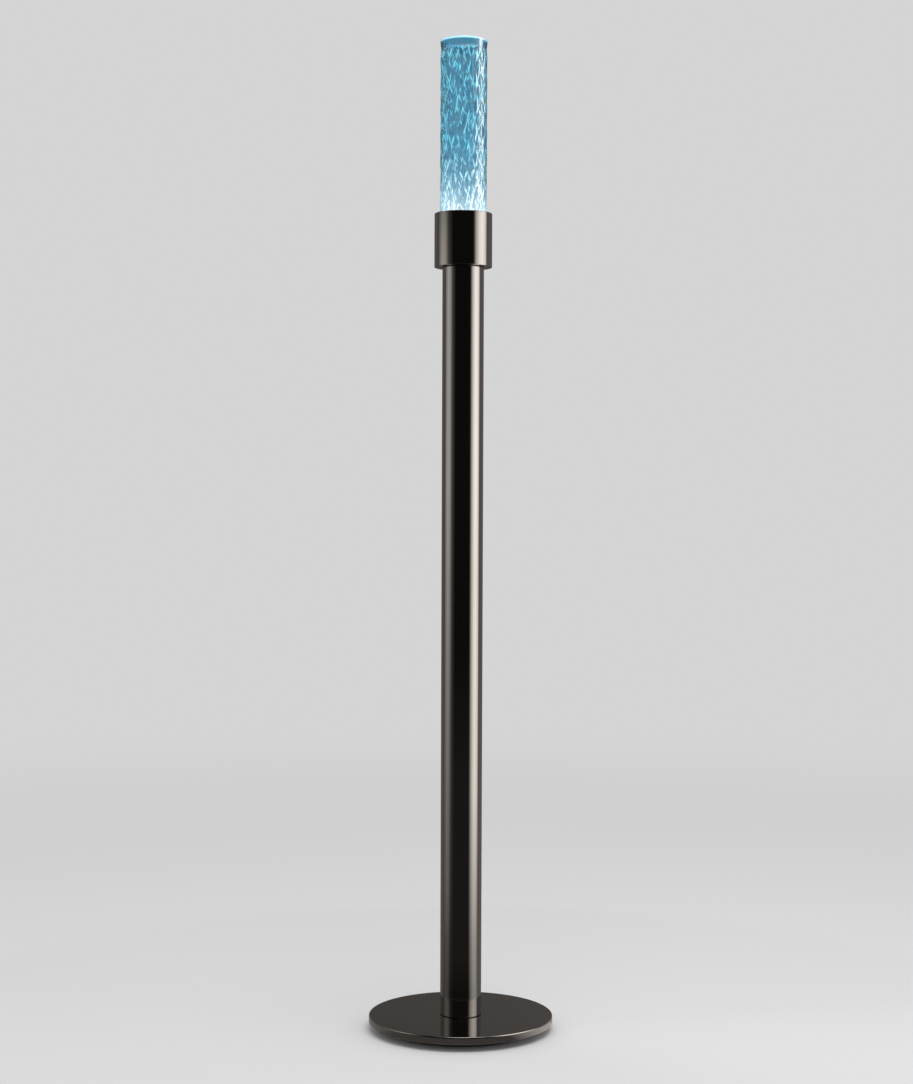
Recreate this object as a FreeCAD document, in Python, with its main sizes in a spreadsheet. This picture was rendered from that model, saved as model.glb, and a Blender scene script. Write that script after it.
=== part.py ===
import FreeCAD, Part
import math
import os
import types

import Sketcher

# Floor lamp: a round disc on a recessed foot, a plain post, a turned cup with an LED light,
# and a blown glass cylinder that stands in the cup and lifts out.
# Millimetres. Z is up, the origin is at the floor under the middle of the foot,
# and the cord inlet is at the back, on +Y.

SIZES = {
    # foot and disc
    "pad_diameter": 232.0,
    "pad_thick": 2.0,
    "plate_diameter": 240.0,
    "plate_thick": 10.0,
    "plate_chamfer": 1.0,
    "disc_diameter": 300.0,
    "disc_thick": 12.0,
    "disc_edge_round": 2.2,
    "disc_under_chamfer": 0.8,
    "pocket_diameter": 66.0,
    "pocket_depth": 7.0,
    # cord way: inlet bush, channel in the foot, sleeve up into the post
    "inlet_bore": 6.6,
    "inlet_wall": 0.8,
    "inlet_length": 14.0,
    "inlet_flange_diameter": 9.4,
    "inlet_flange_thick": 1.5,
    "inlet_land_depth": 1.5,
    "inlet_land_width": 14.0,
    "channel_width": 8.0,
    "channel_depth": 8.5,
    "sleeve_bore": 8.4,
    "sleeve_wall": 1.8,
    "sleeve_flange": 2.5,
    "sleeve_flange_thick": 1.0,
    "sleeve_stand": 2.0,
    # fasteners
    "ballast_screw_circle": 190.0,
    "ballast_screw_shank": 6.0,
    "ballast_screw_head": 12.0,
    "ballast_screw_length": 18.0,
    "post_screw_circle": 44.0,
    "post_screw_shank": 5.0,
    "post_screw_head": 8.5,
    "post_screw_head_high": 5.0,
    "post_screw_length": 30.0,
    "post_washer_diameter": 10.0,
    "post_washer_thick": 1.0,
    "cup_screw_shank": 4.0,
    "cup_screw_head": 7.0,
    "cup_screw_head_high": 4.0,
    "cup_screw_length": 16.0,
    "small_screw_shank": 3.0,
    "small_screw_head": 5.4,
    "small_screw_head_high": 1.9,
    "small_screw_length": 6.5,
    "earth_screw_shank": 4.0,
    "earth_screw_length": 8.0,
    "screw_hole_clearance": 0.25,
    "tapped_hole_clearance": 0.05,
    "tapped_hole_spare": 1.5,
    # post
    "tube_diameter": 67.0,
    "tube_wall": 2.0,
    "tube_length": 1212.0,
    "tube_end_chamfer": 0.4,
    "shadow_gap": 1.0,
    "shadow_inset": 1.0,
    "plug_fit": 0.05,
    "bottom_plug_high": 22.0,
    "top_plug_high": 18.0,
    "top_plug_bore": 20.0,
    "plug_chamfer": 1.0,
    # electrical parts inside the post
    "tray_sheet": 1.5,
    "tray_width": 40.0,
    "tray_height": 236.0,
    "tray_foot": 14.0,
    "tray_setback": 8.0,
    "tray_bend": 1.5,
    "tray_screw_spacing": 26.0,
    "driver_width": 30.0,
    "driver_depth": 21.0,
    "driver_length": 150.0,
    "driver_height": 67.0,
    "driver_round": 2.0,
    "driver_screw_inset": 22.0,
    "cover_length": 12.0,
    "cover_step": 0.6,
    "block_width": 24.0,
    "block_depth": 14.0,
    "block_high": 16.0,
    "block_height": 27.0,
    "block_pole_spacing": 8.0,
    "block_wire_hole": 4.2,
    "block_screw": 3.2,
    "block_screw_deep": 5.0,
    "block_screw_sunk": 0.5,
    "wire_diameter": 2.4,
    "earth_tag_diameter": 9.0,
    "earth_tag_thick": 0.8,
    "earth_tag_tail": 12.0,
    "earth_tag_place": 14.0,
    "lead_diameter": 4.4,
    "lead_offset": 22.0,
    "lead_straight": 30.0,
    "lead_shift_high": 80.0,
    "lead_clearance": 0.3,
    "bush_wall": 1.5,
    "bush_flange": 1.6,
    "bush_flange_thick": 1.2,
    # cup and light
    "cup_diameter": 93.0,
    "cup_wall": 3.0,
    "cup_floor": 5.0,
    "cup_height": 85.5,
    "cup_rim_chamfer": 1.0,
    "cup_inner_chamfer": 0.5,
    "cup_foot_chamfer": 0.4,
    "sink_fit": 0.3,
    "fin_count": 24,
    "fin_height": 16.5,
    "fin_thick": 1.8,
    "fin_inner_diameter": 55.0,
    "sink_base_thick": 5.0,
    "thermal_pad_diameter": 50.0,
    "thermal_pad_thick": 0.5,
    "board_diameter": 52.0,
    "board_thick": 1.6,
    "board_screw_circle": 40.0,
    "emitter_diameter": 20.0,
    "emitter_thick": 1.2,
    "connector_width": 9.0,
    "connector_depth": 5.6,
    "connector_high": 2.6,
    "reflector_mouth": 68.0,
    "reflector_throat": 21.2,
    "reflector_lift": 0.3,
    "reflector_wall": 1.0,
    "reflector_high": 15.0,
    "diffuser_diameter": 84.8,
    "diffuser_thick": 3.0,
    "gasket_bore": 66.0,
    "gasket_thick": 1.0,
    # glass and its seat
    "lip_bore": 64.0,
    "lip_thick": 4.0,
    "socket_bore": 81.2,
    "socket_fit": 0.05,
    "socket_drop": 1.5,
    "seat_thick": 2.3,
    "seat_inner": 64.6,
    "seat_outer": 80.0,
    "seat_gap": 0.3,
    "ring_section": 3.0,
    "ring_chamfer": 0.8,
    "ring_groove": 1.0,
    "ring_groove_clearance": 0.05,
    "ring_drop": 9.0,
    "glass_bore": 66.4,
    "glass_diameter": 73.2,
    "glass_relief": 1.0,
    "glass_foot_relief": 1.3,
    "glass_rim_diameter": 76.4,
    "glass_rim_high": 12.0,
    "glass_row_high": 19.8,
    "glass_rows": 15,
    "glass_columns": 18,
}


class Dim:
    """A length: its value now, and the expression that binds it to the sheet."""

    def __init__(self, value, text):
        self.value = value
        self.text = text

    def __add__(self, other):
        other = as_dim(other)
        return Dim(self.value + other.value, f"({self.text} + {other.text})")

    def __sub__(self, other):
        other = as_dim(other)
        return Dim(self.value - other.value, f"({self.text} - {other.text})")

    def __mul__(self, other):
        other = as_dim(other)
        return Dim(self.value * other.value, f"({self.text} * {other.text})")

    def __truediv__(self, other):
        other = as_dim(other)
        return Dim(self.value / other.value, f"({self.text} / {other.text})")

    def __neg__(self):
        return Dim(-self.value, f"(0 - {self.text})")


def as_dim(number):
    """A Dim as it is, or a plain number as a Dim."""
    if isinstance(number, Dim):
        return number
    return Dim(float(number), f"{float(number):.6f}")


def around(radius, degrees):
    """The point at an angle on a circle about Z, as two lengths."""
    angle = math.radians(degrees)
    x = Dim(radius.value * math.cos(angle), f"({radius.text} * cos({degrees}))")
    y = Dim(radius.value * math.sin(angle), f"({radius.text} * sin({degrees}))")
    return x, y


doc = FreeCAD.newDocument("floor_lamp")
sheet = doc.addObject("Spreadsheet::Sheet", "sizes")
size = types.SimpleNamespace()
for row, (alias, number) in enumerate(SIZES.items(), start=1):
    sheet.set(f"A{row}", alias)
    sheet.set(f"B{row}", str(number))
    sheet.setAlias(f"B{row}", alias)
    setattr(size, alias, Dim(float(number), f"sizes.{alias}"))
doc.recompute()

ZERO = as_dim(0)
THREE_WAYS = (30, 150, 270)
CUP_SCREW_WAYS = (60, 180, 300)

# Heights, from the floor up.
plate_bottom = size.pad_thick
plate_top = plate_bottom + size.plate_thick
pocket_top = plate_bottom + size.pocket_depth
disc_top = plate_top + size.disc_thick
tube_bottom = disc_top + size.shadow_gap
tube_top = tube_bottom + size.tube_length
bottom_plug_top = tube_bottom + size.bottom_plug_high
top_plug_bottom = tube_top - size.top_plug_high
cup_bottom = tube_top + size.shadow_gap
cup_floor_top = cup_bottom + size.cup_floor
cup_top = cup_bottom + size.cup_height
sink_base = cup_floor_top + size.fin_height
sink_top = sink_base + size.sink_base_thick
board_bottom = sink_top + size.thermal_pad_thick
board_top = board_bottom + size.board_thick
reflector_top = sink_top + size.reflector_high
diffuser_top = reflector_top + size.diffuser_thick
lip_bottom = diffuser_top + size.gasket_thick
lip_top = lip_bottom + size.lip_thick
seat_top = lip_top + size.seat_thick
glass_bottom = seat_top + size.seat_gap
socket_top = cup_top - size.socket_drop

# Radii that several pieces share.
tube_radius = size.tube_diameter / 2
tube_inside = tube_radius - size.tube_wall
plug_radius = tube_inside - size.plug_fit
flange_radius = tube_radius - size.shadow_inset
cup_radius = size.cup_diameter / 2
cup_inside = cup_radius - size.cup_wall
sleeve_radius = size.sleeve_bore / 2 + size.sleeve_wall
sleeve_hole = sleeve_radius + size.plug_fit
lead_radius = size.lead_diameter / 2
lead_way = lead_radius + size.lead_clearance


# ---------------------------------------------------------------- building steps


def bind(thing, prop, length):
    """Ties one property of an object to the sheet."""
    thing.setExpression(prop, as_dim(length).text)


def bind_place(thing, place, turn=None):
    """Puts an object at a place whose three coordinates are tied to the sheet."""
    x, y, z = (as_dim(c) for c in place)
    rotation = turn or FreeCAD.Rotation()
    thing.Placement = FreeCAD.Placement(FreeCAD.Vector(x.value, y.value, z.value), rotation)
    bind(thing, "Placement.Base.x", x)
    bind(thing, "Placement.Base.y", y)
    bind(thing, "Placement.Base.z", z)


def new_body(name):
    body = doc.addObject("PartDesign::Body", name)
    body.Label = name
    return body


def plane_of(body, role):
    """One of the body's own origin planes or axes."""
    return next(o for o in body.Origin.OriginFeatures if o.Role == role)


def new_sketch(body, name, role, lift=ZERO):
    """A sketch on a plane of its own body, lifted along that plane's normal."""
    sketch = body.newObject("Sketcher::SketchObject", name)
    sketch.AttachmentSupport = [(plane_of(body, role), "")]
    sketch.MapMode = "FlatFace"
    sketch.AttachmentOffset = FreeCAD.Placement(FreeCAD.Vector(0, 0, lift.value), FreeCAD.Rotation())
    if lift is not ZERO:
        bind(sketch, "AttachmentOffset.Base.z", lift)
    return sketch


def hold(sketch, kind, geometry, point, length):
    """Ties one coordinate of a sketch point to the sheet."""
    axis = {"DistanceX": -2, "DistanceY": -1}[kind]
    if length.value == 0:
        sketch.addConstraint(Sketcher.Constraint("PointOnObject", geometry, point, axis))
        return
    index = sketch.addConstraint(Sketcher.Constraint(kind, -1, 1, geometry, point, length.value))
    sketch.setExpression(f"Constraints[{index}]", length.text)


def draw_outline(sketch, corners):
    """A closed outline of straight edges through corners given as pairs of lengths."""
    corners = [(as_dim(x), as_dim(y)) for x, y in corners]
    points = [FreeCAD.Vector(x.value, y.value, 0) for x, y in corners]
    count = len(points)
    for index, point in enumerate(points):
        sketch.addGeometry(Part.LineSegment(point, points[(index + 1) % count]))
    for index in range(count):
        sketch.addConstraint(Sketcher.Constraint("Coincident", index, 2, (index + 1) % count, 1))
    for index, (x, y) in enumerate(corners):
        hold(sketch, "DistanceX", index, 1, x)
        hold(sketch, "DistanceY", index, 1, y)


def draw_circle(sketch, x, y, radius):
    """A circle whose centre and radius are tied to the sheet."""
    centre = FreeCAD.Vector(x.value, y.value, 0)
    index = sketch.addGeometry(Part.Circle(centre, FreeCAD.Vector(0, 0, 1), radius.value))
    hold(sketch, "DistanceX", index, 3, x)
    hold(sketch, "DistanceY", index, 3, y)
    size_index = sketch.addConstraint(Sketcher.Constraint("Radius", index, radius.value))
    sketch.setExpression(f"Constraints[{size_index}]", radius.text)


def turned(name, corners):
    """A turned piece: an outline of (radius, height) corners revolved about Z."""
    body = new_body(name)
    sketch = new_sketch(body, f"{name}_outline", "XZ_Plane")
    draw_outline(sketch, corners)
    revolution = body.newObject("PartDesign::Revolution", f"{name}_turning")
    revolution.Profile = (sketch, [""])
    revolution.ReferenceAxis = (sketch, ["V_Axis"])
    revolution.Angle = 360
    doc.recompute()
    return body


def disc_between(name, inner, outer, low, high):
    """A flat ring, or a disc where the inner radius is zero."""
    return turned(name, [(inner, low), (outer, low), (outer, high), (inner, high)])


def pocketed(body, name, draw, top, depth, count=1):
    """Cuts downwards from a height, as often round Z as count says, and proves that it cut."""
    before = body.Shape.Volume
    sketch = new_sketch(body, f"{name}_outline", "XY_Plane", top)
    draw(sketch)
    pocket = body.newObject("PartDesign::Pocket", name)
    pocket.Profile = (sketch, [""])
    bind(pocket, "Length", depth)
    doc.recompute()
    if count > 1:
        repeated(body, pocket, sketch, count)
    if not body.Shape.Volume < before:
        raise RuntimeError(f"{name} cut nothing")
    return pocket


def repeated(body, feature, sketch, count):
    """Repeats a feature round Z."""
    pattern = body.newObject("PartDesign::PolarPattern", f"{feature.Name}_ring")
    pattern.Originals = [feature]
    pattern.Axis = (sketch, ["N_Axis"])
    pattern.Angle = 360
    pattern.Occurrences = count
    body.Tip = pattern
    doc.recompute()


def bored(body, name, radius, circle, first_angle, top, depth, count=3):
    """Round holes on a circle about Z, cut downwards from a height."""
    x, y = around(circle / 2, first_angle)
    pocketed(body, name, lambda sketch: draw_circle(sketch, x, y, radius), top, depth, count)


def edges_at(shape, radius, height):
    """Names of the full round edges about Z with this radius at this height."""
    names = []
    for index, edge in enumerate(shape.Edges, start=1):
        curve = edge.Curve
        if not isinstance(curve, Part.Circle):
            continue
        level = math.isclose(curve.Center.z, height.value, abs_tol=1e-4)
        if level and math.isclose(curve.Radius, radius.value, abs_tol=1e-4):
            names.append(f"Edge{index}")
    return names


def rounded(body, name, radius, height, amount):
    """Rounds a round edge."""
    base = body.Tip
    fillet = body.newObject("PartDesign::Fillet", name)
    fillet.Base = (base, edges_at(base.Shape, radius, height))
    bind(fillet, "Radius", amount)
    doc.recompute()
    return fillet


def cylinder(name, radius, length, place, turn=None):
    piece = doc.addObject("Part::Cylinder", name)
    piece.Label = name
    bind(piece, "Radius", radius)
    bind(piece, "Height", length)
    bind_place(piece, place, turn)
    return piece


def block(name, low, high):
    """A box between two corners."""
    piece = doc.addObject("Part::Box", name)
    piece.Label = name
    low = [as_dim(c) for c in low]
    high = [as_dim(c) for c in high]
    for prop, start, end in zip(("Length", "Width", "Height"), low, high):
        bind(piece, prop, end - start)
    bind_place(piece, low)
    return piece


def cut(name, base, tools):
    """A piece with other shapes taken out of it. It proves that each of them cuts."""
    piece = base
    for index, tool in enumerate(tools, start=1):
        result = doc.addObject("Part::Cut", f"{name}_cut_{index}")
        result.Base = piece
        result.Tool = tool
        doc.recompute()
        if not result.Shape.Volume < piece.Shape.Volume:
            raise RuntimeError(f"{tool.Name} cuts nothing from {name}")
        piece = result
    base.Label = f"{name}_blank"
    piece.Label = name
    return piece


def group(name, master, places, turn=None):
    """Equal pieces as one node: a compound of linked copies of the master."""
    copies = []
    for index, place in enumerate(places, start=1):
        link = doc.addObject("App::Link", f"{name}_{index}")
        link.LinkedObject = master
        bind_place(link, place, turn)
        copies.append(link)
    compound = doc.addObject("Part::Compound", name)
    compound.Links = copies
    master.Label = f"{name}_master"
    compound.Label = name
    doc.recompute()
    return compound


def cap_screw(name, shank, head, head_high, length, socket):
    """A cylinder-head screw that points down, with its head seated at height zero."""
    head_chamfer = head_high * 0.12
    tip = shank * 0.1
    body = turned(
        f"{name}_turning",
        [
            (0, -length),
            (shank / 2 - tip, -length),
            (shank / 2, tip - length),
            (shank / 2, 0),
            (head / 2, 0),
            (head / 2, head_high - head_chamfer),
            (head / 2 - head_chamfer, head_high),
            (0, head_high),
        ],
    )
    drive = doc.addObject("Part::Prism", f"{name}_socket")
    drive.Polygon = 6
    bind(drive, "Circumradius", socket / 2)
    bind(drive, "Height", head_high)
    bind_place(drive, (0, 0, head_high * 0.5))
    return cut(f"{name}_shape", body, [drive])


# ---------------------------------------------------------------- foot and disc


def make_floor_pad():
    disc_between("floor_pad", ZERO, size.pad_diameter / 2, ZERO, size.pad_thick)


def inlet_axis_height():
    return plate_bottom + size.plate_thick / 2


def inlet_radius():
    return size.inlet_bore / 2 + size.inlet_wall


def inlet_face():
    """The flat land at the back of the foot that the bush's flange seats on."""
    return size.plate_diameter / 2 - size.inlet_land_depth


def make_ballast_plate():
    radius = size.plate_diameter / 2
    body = turned(
        "ballast_plate",
        [
            (0, plate_bottom),
            (radius - size.plate_chamfer, plate_bottom),
            (radius, plate_bottom + size.plate_chamfer),
            (radius, plate_top),
            (0, plate_top),
        ],
    )
    post_hole = size.post_screw_shank / 2 + size.screw_hole_clearance
    bored(body, "post_screw_holes", post_hole, size.post_screw_circle, 30, plate_top, size.plate_thick)
    pocketed(
        body,
        "sleeve_hole",
        lambda sketch: draw_circle(sketch, ZERO, ZERO, sleeve_hole),
        plate_top,
        size.plate_thick,
    )
    pocket_radius = size.pocket_diameter / 2
    pocket = cylinder("screw_pocket", pocket_radius, size.pocket_depth, (0, 0, plate_bottom))
    half_channel = size.channel_width / 2
    bush_inner_end = inlet_face() - size.inlet_length
    channel = block(
        "cord_channel",
        (-half_channel, 0, plate_bottom),
        (half_channel, bush_inner_end, plate_bottom + size.channel_depth),
    )
    half_land = size.inlet_land_width / 2
    land = block(
        "inlet_land",
        (-half_land, inlet_face(), plate_bottom),
        (half_land, radius, plate_top),
    )
    backwards = FreeCAD.Rotation(FreeCAD.Vector(1, 0, 0), -90)
    inlet = cylinder(
        "inlet_hole",
        inlet_radius() + size.plug_fit,
        size.inlet_length,
        (0, bush_inner_end, inlet_axis_height()),
        backwards,
    )
    tools = [pocket, channel, land, inlet]
    head = size.ballast_screw_head / 2 + size.screw_hole_clearance
    shank = size.ballast_screw_shank / 2 + size.screw_hole_clearance
    for index, angle in enumerate(THREE_WAYS, start=1):
        x, y = around(size.ballast_screw_circle / 2, angle)
        tools.append(cylinder(f"ballast_hole_{index}", shank, size.plate_thick, (x, y, plate_bottom)))
        cone = doc.addObject("Part::Cone", f"countersink_{index}")
        bind(cone, "Radius1", head)
        bind(cone, "Radius2", shank)
        bind(cone, "Height", head - shank)
        bind_place(cone, (x, y, plate_bottom))
        tools.append(cone)
    cut("ballast_plate", body, tools)


def make_base_disc():
    radius = size.disc_diameter / 2
    chamfer = size.disc_under_chamfer
    body = turned(
        "base_disc",
        [
            (0, plate_top),
            (radius - chamfer, plate_top),
            (radius, plate_top + chamfer),
            (radius, disc_top),
            (0, disc_top),
        ],
    )
    rounded(body, "disc_top_edge", radius, disc_top, size.disc_edge_round)
    pocketed(
        body,
        "disc_sleeve_hole",
        lambda sketch: draw_circle(sketch, ZERO, ZERO, sleeve_hole),
        disc_top,
        size.disc_thick,
    )
    post_hole = size.post_screw_shank / 2 + size.screw_hole_clearance
    bored(body, "disc_post_holes", post_hole, size.post_screw_circle, 30, disc_top, size.disc_thick)
    tapped = size.ballast_screw_shank / 2 + size.tapped_hole_clearance
    depth = size.ballast_screw_length - size.plate_thick + size.tapped_hole_spare
    bored(body, "disc_tapped_holes", tapped, size.ballast_screw_circle, 30, plate_top + depth, depth)


def make_ballast_screws():
    head = size.ballast_screw_head / 2
    shank = size.ballast_screw_shank / 2
    master = turned(
        "ballast_screw_turning",
        [
            (0, 0),
            (head, 0),
            (shank, head - shank),
            (shank, size.ballast_screw_length),
            (0, size.ballast_screw_length),
        ],
    )
    drive = doc.addObject("Part::Prism", "ballast_screw_socket")
    drive.Polygon = 6
    bind(drive, "Circumradius", shank * 0.75)
    bind(drive, "Height", (head - shank) * 0.8)
    screw = cut("ballast_screw_shape", master, [drive])
    places = [(*around(size.ballast_screw_circle / 2, angle), plate_bottom) for angle in THREE_WAYS]
    group("ballast_screws", screw, places)


def make_post_fasteners():
    """Cap screws that come up through the foot and the disc into the bottom plug."""
    washer = disc_between(
        "post_washer_turning",
        size.post_screw_shank / 2 + size.screw_hole_clearance,
        size.post_washer_diameter / 2,
        ZERO,
        size.post_washer_thick,
    )
    screw = cap_screw(
        "post_screw",
        size.post_screw_shank,
        size.post_screw_head,
        size.post_screw_head_high,
        size.post_screw_length,
        size.post_screw_shank * 0.9,
    )
    washer_bottom = pocket_top - size.post_washer_thick
    ways = [around(size.post_screw_circle / 2, angle) for angle in THREE_WAYS]
    group("post_washers", washer, [(*way, washer_bottom) for way in ways])
    upside_down = FreeCAD.Rotation(FreeCAD.Vector(1, 0, 0), 180)
    group("post_screws", screw, [(*way, washer_bottom) for way in ways], upside_down)


def make_inlet_bush():
    """A flanged bush that lies along Y at the back of the foot."""
    bore = size.inlet_bore / 2
    outer = inlet_radius()
    flange = size.inlet_flange_diameter / 2
    length = size.inlet_length
    total = length + size.inlet_flange_thick
    body = turned(
        "inlet_bush_turning",
        [(bore, 0), (outer, 0), (outer, length), (flange, length), (flange, total), (bore, total)],
    )
    backwards = FreeCAD.Rotation(FreeCAD.Vector(1, 0, 0), -90)
    group("inlet_bush", body, [(0, inlet_face() - length, inlet_axis_height())], backwards)


def make_cord_sleeve():
    bore = size.sleeve_bore / 2
    flange = sleeve_radius + size.sleeve_flange
    flange_bottom = pocket_top - size.sleeve_flange_thick
    top = bottom_plug_top + size.sleeve_stand
    turned(
        "cord_sleeve",
        [
            (bore, flange_bottom),
            (flange, flange_bottom),
            (flange, pocket_top),
            (sleeve_radius, pocket_top),
            (sleeve_radius, top),
            (bore, top),
        ],
    )


# ---------------------------------------------------------------- post


def make_bottom_plug():
    chamfer = size.plug_chamfer
    body = turned(
        "bottom_plug",
        [
            (sleeve_hole, disc_top),
            (flange_radius, disc_top),
            (flange_radius, tube_bottom),
            (plug_radius, tube_bottom),
            (plug_radius, bottom_plug_top - chamfer),
            (plug_radius - chamfer, bottom_plug_top),
            (sleeve_hole, bottom_plug_top),
        ],
    )
    tapped = size.post_screw_shank / 2 + size.tapped_hole_clearance
    reach = pocket_top - size.post_washer_thick + size.post_screw_length + size.tapped_hole_spare
    bored(body, "plug_tapped_holes", tapped, size.post_screw_circle, 30, reach, reach - disc_top)
    small = size.small_screw_shank / 2 + size.tapped_hole_clearance
    small_deep = size.small_screw_length - size.tray_sheet + size.tapped_hole_spare
    tools = []
    for index, x in enumerate(tray_screw_places(), start=1):
        place = (x, tray_foot_middle(), bottom_plug_top - small_deep)
        tools.append(cylinder(f"tray_hole_{index}", small, small_deep, place))
    earth = size.earth_screw_shank / 2 + size.tapped_hole_clearance
    earth_deep = size.earth_screw_length - size.earth_tag_thick + size.tapped_hole_spare
    place = (-size.earth_tag_place, -size.earth_tag_place, bottom_plug_top - earth_deep)
    tools.append(cylinder("earth_hole", earth, earth_deep, place))
    cut("bottom_plug", body, tools)


def make_post_tube():
    chamfer = size.tube_end_chamfer
    turned(
        "post_tube",
        [
            (tube_inside, tube_bottom),
            (tube_radius - chamfer, tube_bottom),
            (tube_radius, tube_bottom + chamfer),
            (tube_radius, tube_top - chamfer),
            (tube_radius - chamfer, tube_top),
            (tube_inside, tube_top),
        ],
    )


def make_top_plug():
    chamfer = size.plug_chamfer
    bore = size.top_plug_bore / 2
    body = turned(
        "top_plug",
        [
            (bore, top_plug_bottom),
            (plug_radius - chamfer, top_plug_bottom),
            (plug_radius, top_plug_bottom + chamfer),
            (plug_radius, tube_top),
            (flange_radius, tube_top),
            (flange_radius, cup_bottom),
            (bore, cup_bottom),
        ],
    )
    tapped = size.cup_screw_shank / 2 + size.tapped_hole_clearance
    depth = size.cup_screw_length - size.cup_floor + size.tapped_hole_spare
    bored(body, "top_plug_holes", tapped, size.post_screw_circle, 60, cup_bottom, depth)
    way = cylinder(
        "top_plug_lead_way",
        lead_way + size.bush_wall + size.plug_fit,
        cup_bottom - top_plug_bottom,
        (size.lead_offset, 0, top_plug_bottom),
    )
    cut("top_plug", body, [way])


def make_lead_bush():
    outer = lead_way + size.bush_wall
    flange = outer + size.bush_flange
    thick = size.bush_flange_thick
    high = cup_bottom - top_plug_bottom + thick
    body = turned(
        "lead_bush_turning",
        [
            (lead_way, 0),
            (flange, 0),
            (flange, thick),
            (outer, thick),
            (outer, high),
            (lead_way, high),
        ],
    )
    group("lead_bush", body, [(size.lead_offset, 0, top_plug_bottom - thick)])


# ---------------------------------------------------------------- electrical parts in the post


def tray_foot_middle():
    return size.tray_setback + size.tray_sheet + size.tray_foot / 2


def tray_screw_places():
    """How far to the left and right of the middle the two tray screws stand."""
    return -size.tray_screw_spacing / 2, size.tray_screw_spacing / 2


def make_gear_tray():
    """A bent sheet: a foot on the bottom plug and a tall back that carries the driver."""
    back = size.tray_setback
    behind = back + size.tray_sheet
    foot_end = behind + size.tray_foot
    foot_top = bottom_plug_top + size.tray_sheet
    body = new_body("gear_tray")
    sketch = new_sketch(body, "tray_section", "YZ_Plane", -size.tray_width / 2)
    draw_outline(
        sketch,
        [
            (back, bottom_plug_top),
            (foot_end, bottom_plug_top),
            (foot_end, foot_top),
            (behind, foot_top),
            (behind, bottom_plug_top + size.tray_height),
            (back, bottom_plug_top + size.tray_height),
        ],
    )
    pad = body.newObject("PartDesign::Pad", "tray_sheet_metal")
    pad.Profile = (sketch, [""])
    bind(pad, "Length", size.tray_width)
    doc.recompute()
    bend = body.newObject("PartDesign::Fillet", "tray_bend_outside")
    bend.Base = (pad, straight_edges_at(pad.Shape, back, bottom_plug_top))
    bind(bend, "Radius", size.tray_bend + size.tray_sheet)
    doc.recompute()
    inside = body.newObject("PartDesign::Fillet", "tray_bend_inside")
    inside.Base = (bend, straight_edges_at(bend.Shape, behind, foot_top))
    bind(inside, "Radius", size.tray_bend)
    doc.recompute()
    hole = size.small_screw_shank / 2 + size.screw_hole_clearance
    tools = []
    for index, x in enumerate(tray_screw_places(), start=1):
        place = (x, tray_foot_middle(), bottom_plug_top)
        tools.append(cylinder(f"tray_foot_hole_{index}", hole, size.tray_sheet, place))
    for index, height in enumerate(driver_screw_heights(), start=1):
        backwards = FreeCAD.Rotation(FreeCAD.Vector(1, 0, 0), -90)
        place = (0, back, height)
        tools.append(cylinder(f"tray_driver_hole_{index}", hole, size.tray_sheet, place, backwards))
    cut("gear_tray", body, tools)


def straight_edges_at(shape, y, z):
    """Names of the edges that run along X at this y and z."""
    names = []
    for index, edge in enumerate(shape.Edges, start=1):
        middle = edge.CenterOfMass
        level = math.isclose(middle.z, z.value, abs_tol=1e-4)
        if level and math.isclose(middle.y, y.value, abs_tol=1e-4):
            names.append(f"Edge{index}")
    return names


def driver_bottom():
    return bottom_plug_top + size.driver_height


def driver_top():
    return driver_bottom() + size.driver_length


def driver_screw_heights():
    inset = size.driver_screw_inset
    return driver_bottom() + inset, driver_top() - inset


def make_driver():
    half = size.driver_width / 2
    front = size.tray_setback - size.driver_depth
    case = block(
        "driver_case_block",
        (-half, front, driver_bottom()),
        (half, size.tray_setback, driver_top()),
    )
    doc.recompute()
    soft = rounded_block(case, "driver_case_rounding", size.driver_round)
    thread = size.small_screw_shank / 2 + size.tapped_hole_clearance
    deep = size.small_screw_length - size.tray_sheet + size.tapped_hole_spare
    forwards = FreeCAD.Rotation(FreeCAD.Vector(1, 0, 0), 90)
    tools = []
    for index, height in enumerate(driver_screw_heights(), start=1):
        place = (0, size.tray_setback, height)
        tools.append(cylinder(f"driver_hole_{index}", thread, deep, place, forwards))
    cut("driver_case", soft, tools)
    step = size.cover_step
    covers = []
    for name, low in (
        ("driver_cover_low", driver_bottom() - size.cover_length),
        ("driver_cover_high", driver_top()),
    ):
        cover = block(
            f"{name}_block",
            (step - half, front + step, low),
            (half - step, size.tray_setback - step, low + size.cover_length),
        )
        doc.recompute()
        covers.append(rounded_block(cover, name, size.driver_round))
    compound = doc.addObject("Part::Compound", "driver_covers")
    compound.Links = covers
    compound.Label = "driver_covers"
    doc.recompute()


def rounded_block(base, name, radius):
    """Rounds the four upright edges of a box."""
    upright = []
    for index, edge in enumerate(base.Shape.Edges, start=1):
        if abs(edge.Vertexes[0].Z - edge.Vertexes[-1].Z) > 1e-4:
            upright.append((index, radius.value, radius.value))
    fillet = doc.addObject("Part::Fillet", name)
    fillet.Base = base
    fillet.Edges = upright
    doc.recompute()
    return fillet


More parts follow.
